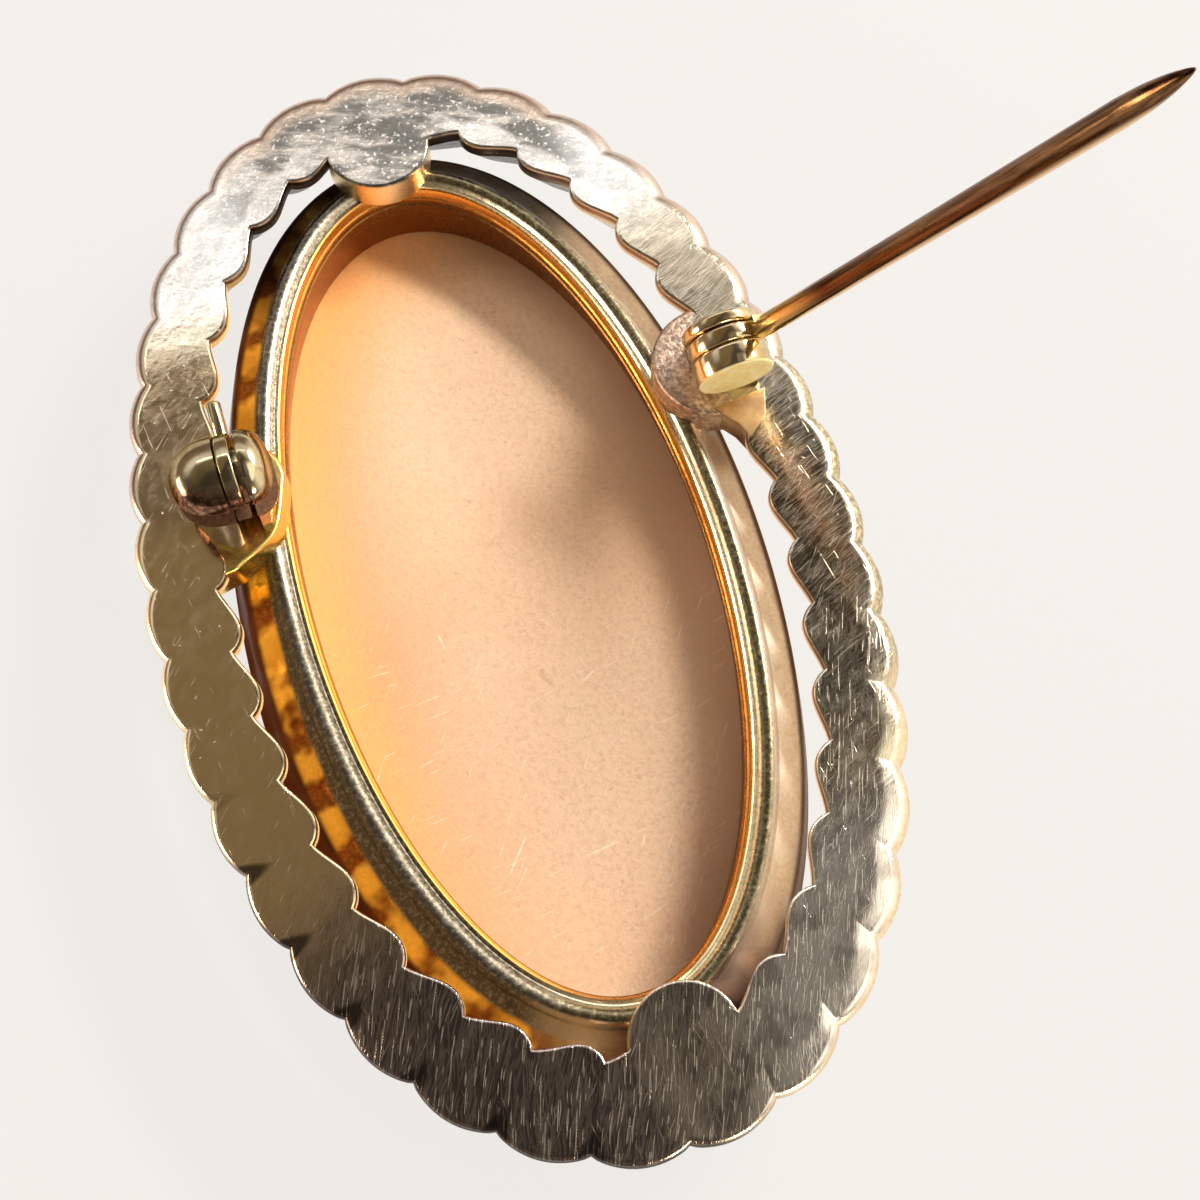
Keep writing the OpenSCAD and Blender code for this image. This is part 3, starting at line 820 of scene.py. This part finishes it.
def trough(x):
    """Height of the shell's hollow back at x, from the flat back."""
    return SHELL_T - BACK_Z + TROUGH_R - math.sqrt(TROUGH_R ** 2 - x * x)


def step_out(a):
    """How far the bezel's outer side reaches out at the bottom left."""
    return 1.3 * ((1 + cosd(a - 235)) / 2) ** 3


def bezel_section(reach):
    """Section of the bezel from its lip over the outside to its front, as (distance, height)."""
    lip = [(0, -1.5), (0.03, -1.4), (0.1, -1.35), (0.17, -1.37), (0.24, -1.44)]
    rim = curve_through([(0.3, -1.42), (0.5, -1.2), (0.8, -1.14), (1.05, -1.3), (1.15, -1.5)], 3)
    collar = [(1.2, -1.55), (1.7, -1.73), (2.08, -1.89)]
    collar += [(2.22 + 0.2 * reach, -2.05), (2.28 + 0.5 * reach, -2.4)]
    step = [(part * reach + BEZEL_W, z) for part, z in ((0.75, -2.66), (0.98, -2.76), (1, -2.8), (1, -2.84))]
    outside = curve_through([(2.29, -2.9), (2.22, -3.3), (1.75, -5.5), (1.5, -5.7), (1.3, -5.76)], 2)
    front = [(RIM_E, -5.72), (RIM_E, -5.5), (SEAT_E, -5.4)]
    return lip + rim + collar + step + outside + front


def bezel_inside(a):
    """The rest of the section, from the shell's seat up the inner wall to the lip."""
    seat, ledge = grown(LIP_L, LIP_W, a, SEAT_E), grown(LIP_L, LIP_W, a, LEDGE_E)
    half = LEDGE_E / 2
    return [(SEAT_E, trough(seat.x) + PLAY), (LEDGE_E, trough(ledge.x) + PLAY), (LEDGE_E, -2.33),
            (half, -2.27), (half, -1.93), (0, -1.87)]


def build_bezel():
    points, lay = [], []
    for i in range(BEZEL_STEPS):
        a = 360 * i / BEZEL_STEPS
        reach = step_out(a)
        outside, inside = bezel_section(reach), bezel_inside(a)
        count = a + STRETCH_IN * sind(2 * a) + DRIFT * cosd(a)
        wave = cosd(LOBES * (count - FIRST_GROOVE) - WAVE_LAG)
        for k, (e, z) in enumerate(outside + inside):
            q = grown(LIP_L, LIP_W, a, e)
            points.append((q.x, q.y, BACK_Z + z))
            out = -0.1 if k == len(outside) else e  # the seat counts as inner wall
            lay.append((wave, out, BEZEL_W + 0.62 * reach - out if z > -2.85 else -1))
    faces = quads(BEZEL_STEPS, len(points) // BEZEL_STEPS, closed=True)
    make("bezel", points, faces, FRAME, BEZEL, lay, sharp=30)


build_bezel()

# Shell: rings over its hollow back, then its edge, its bevel and its table, as (distance, height)

SHELL_STEPS, SHELL_RINGS = 160, 16
SHELL_E, FRONT_E, TABLE_E = SEAT_E - 0.08, RIM_E - 0.1, -0.9
SHELL_FRONT = [(SHELL_E, -5.3), (FRONT_E, -5.36), (FRONT_E, -5.95), (TABLE_E, -BACK_Z)]


def build_shell():
    n = SHELL_STEPS
    angles = [360 * i / n for i in range(n)]
    points = []
    for k in range(1, SHELL_RINGS + 1):
        for a in angles:
            q = k / SHELL_RINGS * grown(LIP_L, LIP_W, a, SHELL_E)
            points.append((q.x, q.y, BACK_Z + trough(q.x)))
    for e, z in SHELL_FRONT:
        for a in angles:
            q = grown(LIP_L, LIP_W, a, e)
            points.append((q.x, q.y, BACK_Z + z))
    rows = SHELL_RINGS + len(SHELL_FRONT)
    faces = [(a, d, c, b) for a, b, c, d in quads(rows, n)]  # the rows run outwards and down
    back, front = rows * n, rows * n + 1
    points += [(0, 0, BACK_Z + trough(0)), (0, 0, 0)]
    for i in range(n):
        k = (i + 1) % n
        faces.append((back, i, k))
        faces.append((front, (rows - 1) * n + k, (rows - 1) * n + i))
    make("shell_back", points, faces, PLAQUE, SHELL, sharp=30)


build_shell()

# Hinge: a disc, a fillet, and knuckles on saddles, in its own frame with Y along its axis

DISC_AT, DISC_R, DISC_Z, DISC_TOP, DISC_EDGE, DISC_FLAT_R = (10.95, 5.35), 2.63, -1.6, -0.03, 0.16, 1.2
SOLDER_FILLET = [(10.2, 3.1), (10.95, 2.1), (11.25, 1.35), (12.2, 2.2), (12.6, 3.4)]
FILLET_Z, FILLET_TOP, FILLET_EDGE = -1.3, 0.03, 0.02
HINGE_AT, HINGE_LEAN = (11.15, 4.87, BACK_Z + 1.79), 8.7
BARREL_R, BARREL_EDGE, GAP = 1.65, 0.15, 0.83
KNUCKLES = {"top": (GAP / 2, GAP / 2 + 0.55), "low": (-GAP / 2 - 1.05, -GAP / 2)}
SADDLE_W, SADDLE_Z, SADDLE_TOP, SADDLE_IN, SADDLE_EDGE = 2.5, -2.2, -0.7, 0.1, 0.05
ON_BACK = Matrix.Translation((0, 0, BACK_Z))
HINGE = Matrix.Translation(HINGE_AT) @ Matrix.Rotation(math.radians(HINGE_LEAN), 4, "X")
ALONG_Y = Matrix.Rotation(math.radians(-90), 4, "X")  # takes Z to Y


def rectangle(x0, x1, y0, y1):
    return [(x0, y0), (x1, y0), (x1, y1), (x0, y1)]


def build_hinge():
    points, faces = lathe(disc_profile(DISC_R, DISC_Z, DISC_TOP, DISC_EDGE, DISC_FLAT_R), 120)
    make("hinge_disc", points, faces, FRAME, SOLDER, matrix=Matrix.Translation((*DISC_AT, BACK_Z)))
    points, faces = prism(SOLDER_FILLET, FILLET_Z, FILLET_TOP, FILLET_EDGE)
    make("hinge_fillet", points, faces, FRAME, FILLET, matrix=ON_BACK)
    for end, (y0, y1) in KNUCKLES.items():
        points, faces = lathe(bar_profile(y0, y1, BARREL_R, BARREL_EDGE))
        make("barrel_" + end, points, faces, FRAME, BARREL, matrix=HINGE @ ALONG_Y)
        start = y0 + SADDLE_IN if end == "low" else y0
        outline = rectangle(-SADDLE_W / 2, SADDLE_W / 2, start, y1)
        points, faces = prism(outline, SADDLE_Z, SADDLE_TOP, SADDLE_EDGE)
        lay = [(0, 0, 0)] * len(points)  # no end face
        make("saddle_" + end, points, faces, FRAME, BARREL, lay, HINGE)


build_hinge()

# Ball catch, in its own frame: two domes along X on a foot, with a slot between them for the ring

BALL_R, CORE_R, MOUTH_H = 1.8, 1.12, 1.12
SLOT_X0, SLOT_X1, SLOT_R, SLOT_EDGE, SLOT_LIP = -0.02, 0.84, 1.76, 0.04, 0.03
LEFT_TIP, LEFT_BLUNT = -2.1, 2.5
RIGHT_WIDEST, RIGHT_TIP, RIGHT_BLUNT = 0.55, 1.96, 2.9
RING_T, RING_R, RING_EDGE = 0.6, 1.75, 0.1
LEVER_FROM, LEVER_TO, LEVER_R, LEVER_LEAN = 1.5, 3.25, 0.29, 8
PLATE_Z, PLATE_TOP, PLATE_EDGE = -1.6, -0.03, 0.16
CATCH_PLATE = [(-12.4, 2.3), (-10.94, 1.95), (-10.21, 2.25), (-9.51, 2.6), (-8.82, 3.08), (-8.4, 3.8),
               (-8, 5.02), (-7.83, 5.71), (-8, 6.54), (-8.6, 7.2), (-9.6, 7.5), (-10.6, 7.6), (-12.4, 7.8)]
FOOT_LOW = [(1.5, 1), (-1.75, 1), (-1.75, -0.6), (-1.21, -1.71), (-0.42, -2.3), (-0.15, -2.25),
            (0.2, -1.95), (1.2, -1.5), (1.5, -0.6)]
FOOT_HIGH = [(1.4, 1), (-1.45, 1), (-1.45, -0.6), (-1, -1.2), (-0.4, -1.45), (0, -1.5),
             (0.4, -1.45), (1, -1.15), (1.4, -0.6)]
CLEAR = 4  # reach of a cutter past what it cuts
IN_BALL = Matrix.Translation(BALL_AT)
ALONG_X = Matrix.Rotation(math.radians(90), 4, "Y")  # takes Z to X


def dome(r, x0, x1, blunt, parts=18):
    """Half profile of a dome from its widest place x0 to its tip x1."""
    rows = []
    for k in range(parts):
        a = 90 * k / parts
        rows.append((r * cosd(a) ** (2 / blunt), x0 + (x1 - x0) * sind(a) ** (2 / blunt)))
    return rows + [(0, x1)]


def cut_mouth(obj):
    """Cuts the mouth for the pin, which opens to -Y."""
    half = MOUTH_H / 2
    carve(obj, cutter_box(-CLEAR, CLEAR, -CLEAR, half, -half, half, IN_BALL))


def build_catch():
    left = dome(BALL_R, SLOT_X0, LEFT_TIP, LEFT_BLUNT)
    right = [p for p in dome(BALL_R, RIGHT_WIDEST, RIGHT_TIP, RIGHT_BLUNT) if p[1] > SLOT_X1]
    slot = [(CORE_R, SLOT_X0), (CORE_R, SLOT_X1), (SLOT_R - SLOT_EDGE, SLOT_X1), (SLOT_R, SLOT_X1 + SLOT_LIP)]
    points, faces = lathe(left[::-1] + slot + right)
    cut_mouth(make("catch_ball", points, faces, FRAME, BALL, matrix=IN_BALL @ ALONG_X))
    points, faces = loft([(FOOT_LOW, -2.3), (FOOT_LOW, -1.66), (FOOT_LOW, -1.62), (FOOT_HIGH, -0.6)])
    foot = make("catch_foot", points, faces, FRAME, FOOT, matrix=IN_BALL)
    carve(foot, cutter_box(SLOT_X0, SLOT_X1, -CLEAR, CLEAR, -CLEAR, CLEAR, IN_BALL))
    points, faces = prism(curve_through(CATCH_PLATE, 5, closed=True), PLATE_Z, PLATE_TOP, PLATE_EDGE)
    make("catch_plate", points, faces, FRAME, PLATE, matrix=ON_BACK)


def build_ring():
    x0 = SLOT_X0 + PLAY
    x1 = x0 + RING_T
    profile = bar_profile(x0, x1, RING_R, RING_EDGE, CORE_R + PLAY)
    points, faces = lathe(profile + [profile[0]])
    cut_mouth(make("ring_band", points, faces, RING, BALL, matrix=IN_BALL @ ALONG_X))
    points, faces = lathe(bar_profile(LEVER_FROM, LEVER_TO, LEVER_R, RING_EDGE), 48)
    lean = Matrix.Rotation(math.radians(LEVER_LEAN), 4, "X")
    lever = IN_BALL @ Matrix.Translation(((x0 + x1) / 2, 0, 0)) @ lean @ ALONG_Y
    make("ring_lever", points, faces, RING, BALL, matrix=lever)


build_catch()
build_ring()

# Pin: a knuckle, a neck beside the barrel and the wire, which leaves it a little askew

PIN_OPEN, PIN_SKEW = 112, -8
PIN_L, POINT_L = 23.2, 2.6
KNUCKLE_EDGE = 0.13
NECK_FROM, NECK_TO, NECK_PLAY, NECK_HALF_T, NECK_EDGE = -2.0, -0.25, 0.02, 0.44, 0.06
WIRE_D, WIRE_EDGE, WIRE_PARTS = 0.92, 0.04, 24
WIRE_FROM, WIRE_DROP, WIRE_SIDE = 1.75, -0.135, 0.69
PIN_UNDER = Vector((0.242, -0.927, -0.286))  # the side of the pin that gets a painted reflection when it is open
AGAINST_X = Matrix.Rotation(math.radians(-90), 4, "Y")  # takes Z to -X

# The point, as (part of the wire's diameter, part of the point's length)
POINT = [(0.5, 0), (0.44, 0.36), (0.31, 0.68), (0.16, 0.9), (0.05, 1)]


def wire_profile():
    r, wire_l = WIRE_D / 2, PIN_L - POINT_L - WIRE_FROM
    profile = [(0, 0), (r - WIRE_EDGE, 0), (r, WIRE_EDGE)]
    profile += [(r, wire_l * k / WIRE_PARTS) for k in range(1, WIRE_PARTS)]
    tip = curve_through([(part * WIRE_D, at * POINT_L) for part, at in POINT], 4)
    return profile + [(x, wire_l + z) for x, z in tip] + [(0, PIN_L - WIRE_FROM)]


def build_pin():
    opened = HINGE @ Matrix.Rotation(math.radians(PIN_OPEN), 4, "Y")
    half = GAP / 2 - PLAY
    points, faces = lathe(bar_profile(-half, half, BARREL_R - PLAY, KNUCKLE_EDGE))
    make("pin_knuckle", points, faces, STEM, BARREL, matrix=opened @ ALONG_Y)
    outline = rectangle(NECK_FROM, NECK_TO, NECK_PLAY - half, half - NECK_PLAY)
    points, faces = prism(outline, WIRE_SIDE - NECK_HALF_T, WIRE_SIDE + NECK_HALF_T, NECK_EDGE)
    make("pin_neck", points, faces, STEM, BRIGHT, matrix=opened)
    skew = Matrix.Rotation(math.radians(-PIN_SKEW), 4, "Z")
    wire = opened @ Matrix.Translation((-WIRE_FROM, WIRE_DROP, WIRE_SIDE)) @ skew @ AGAINST_X
    under = wire.to_3x3().transposed() @ PIN_UNDER
    points, faces = lathe(wire_profile(), 64)
    lay = [(z, x * under.x + y * under.y, x * under.y - y * under.x) for x, y, z in points]
    make("pin_wire", points, faces, STEM, PIN, lay, wire)


build_pin()

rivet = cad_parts["hinge_rivet"]
rivet.data.materials.clear()
rivet.data.materials.append(BARREL)

# Floor, light and camera

FLOOR_HALF = 0.9  # in metres
CAMERA_AT = (-3.82, -21.74, 59.31)
CAMERA_AXES = ((0.95173, -0.30648, 0.01683), (0.28257, 0.89624, 0.34191), (-0.11988, -0.32065, 0.93958))
LENS, SENSOR = 42, 36


def build_floor():
    s = FLOOR_HALF
    mesh = bpy.data.meshes.new("floor")
    mesh.from_pydata([(x, y, 0) for x, y in rectangle(-s, s, -s, s)], [], [(0, 1, 2, 3)])
    floor = bpy.data.objects.new("floor", mesh)
    bpy.context.scene.collection.objects.link(floor)
    g = Matter("pale_paper")
    g.put(g.shader.inputs["Emission Color"], (1.0, 0.972, 0.932))
    g.put(g.shader.inputs["Emission Strength"], 0.81)
    floor.data.materials.append(g.finish((0.05, 0.049, 0.047), 0.95, 0.0))


def soft_light(name, azimuth, elevation, distance, width, height, power, colour=(1, 1, 1)):
    """An area light that looks at the brooch, with its sizes in metres. Azimuth 0 is at -Y, 90 at +X."""
    lamp = bpy.data.lights.new(name, "AREA")
    lamp.shape = "RECTANGLE"
    lamp.size, lamp.size_y, lamp.energy, lamp.color = width, height, power, colour
    obj = bpy.data.objects.new(name, lamp)
    bpy.context.scene.collection.objects.link(obj)
    way = Vector((sind(azimuth) * cosd(elevation), -cosd(azimuth) * cosd(elevation), sind(elevation)))
    obj.location = way * distance + Vector((0, 0, 5 * MM))
    obj.rotation_mode = "QUATERNION"
    obj.rotation_quaternion = way.to_track_quat("Z", "Y")


def build_world():
    """A studio that is bright behind and to the right of the brooch, and dark overhead and in front."""
    world = bpy.data.worlds.new("studio")
    bpy.context.scene.world = world
    world.use_nodes = True
    g = Graph(world.node_tree)
    x, y, z = g.split(g.add("ShaderNodeTexCoord").outputs["Generated"])
    high = g.mix(g.ramp(z, 0.40, 0.62), (0.24, 0.17, 0.13), (0.80, 0.76, 0.73))
    colour = g.mix(g.ramp(y, 0.0, 0.55), (0.13, 0.105, 0.085), high)
    east = g.both(g.ramp(x, 0.35, 0.85), g.ramp(z, 0.75, 0.45))
    colour = g.mix(east, colour, (1.25, 1.08, 0.88))
    back = g.ramp(g.math("SUBTRACT", y, x), 0.22, 0.34)
    above = g.mix(back, (0.070, 0.058, 0.050), (0.185, 0.142, 0.088))
    lamp = g.both(g.ramp(x, 0.03, 0.12), g.ramp(y, 0.15, 0.06))
    above = g.mix(lamp, above, (0.215, 0.192, 0.166))
    overhead = g.ramp(g.math("SUBTRACT", z, g.both(x, 0.15)), 0.79, 0.85)
    colour = g.mix(overhead, colour, above)
    south_east = g.both(g.ramp(x, 0.38, 0.46), g.ramp(y, 0.08, -0.04))
    colour = g.mix(g.both(south_east, g.ramp(z, 0.50, 0.60)), colour, (1.5, 1.4, 1.2))
    g.put(world.node_tree.nodes["Background"].inputs["Color"], colour)


def build_camera():
    data = bpy.data.cameras.new("camera")
    data.lens, data.sensor_width, data.clip_start, data.clip_end = LENS, SENSOR, 1 * MM, 10
    camera = bpy.data.objects.new("camera", data)
    bpy.context.scene.collection.objects.link(camera)
    columns = [*CAMERA_AXES, Vector(CAMERA_AT) * MM]
    camera.matrix_world = Matrix([[c[k] for c in columns] for k in range(3)] + [(0, 0, 0, 1)])
    bpy.context.scene.camera = camera


build_floor()
build_world()
build_camera()
soft_light("window", 178, 52, 0.24, 0.22, 0.016, 0.032)
soft_light("key", 112.6, 37.6, 0.26, 0.12, 0.03, 0.82, (1.0, 0.95, 0.88))
soft_light("front", 15, 13, 0.2, 0.05, 0.03, 0.15, (1.0, 0.86, 0.62))
soft_light("low", 265, 9, 0.2, 0.10, 0.04, 0.26, (1.0, 0.84, 0.66))
bpy.context.scene.view_settings.view_transform = "Standard"
